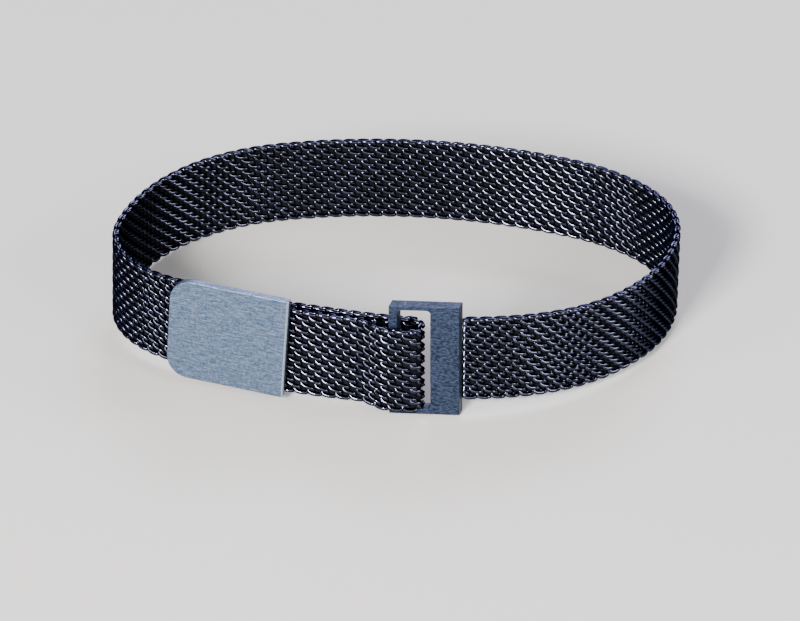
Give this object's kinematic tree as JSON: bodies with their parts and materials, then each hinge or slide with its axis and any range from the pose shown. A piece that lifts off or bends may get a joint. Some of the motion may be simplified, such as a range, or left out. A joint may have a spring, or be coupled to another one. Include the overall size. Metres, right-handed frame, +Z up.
{
  "type": "mesh bracelet",
  "caption": "Woven steel mesh bracelet with a loop buckle and a magnetic closing plate, closed and lying on its side.",
  "frame": {"origin": "middle of the part in plan, on the surface it lies on", "axes": "+X along the front of the loop, towards the buckle's wide bar; +Y from the clasp to the back of the loop; +Z up, across the band's width, along the way the wrist goes in"},
  "size_m": [0.0732, 0.0466, 0.0159],
  "materials": {
    "woven_steel_wire": "glossy blue-black coated wire",
    "blasted_blue_steel": "fine blasted slate blue",
    "brushed_blue_steel": "satin, brushed light blue-grey",
    "dark_magnet": "plain dark coating"
  },
  "bodies": {
    "root": {"mesh_band": "woven_steel_wire", "loop_buckle": "blasted_blue_steel", "magnet_plate": "brushed_blue_steel", "magnet": "dark_magnet"}
  },
  "joints": []
}
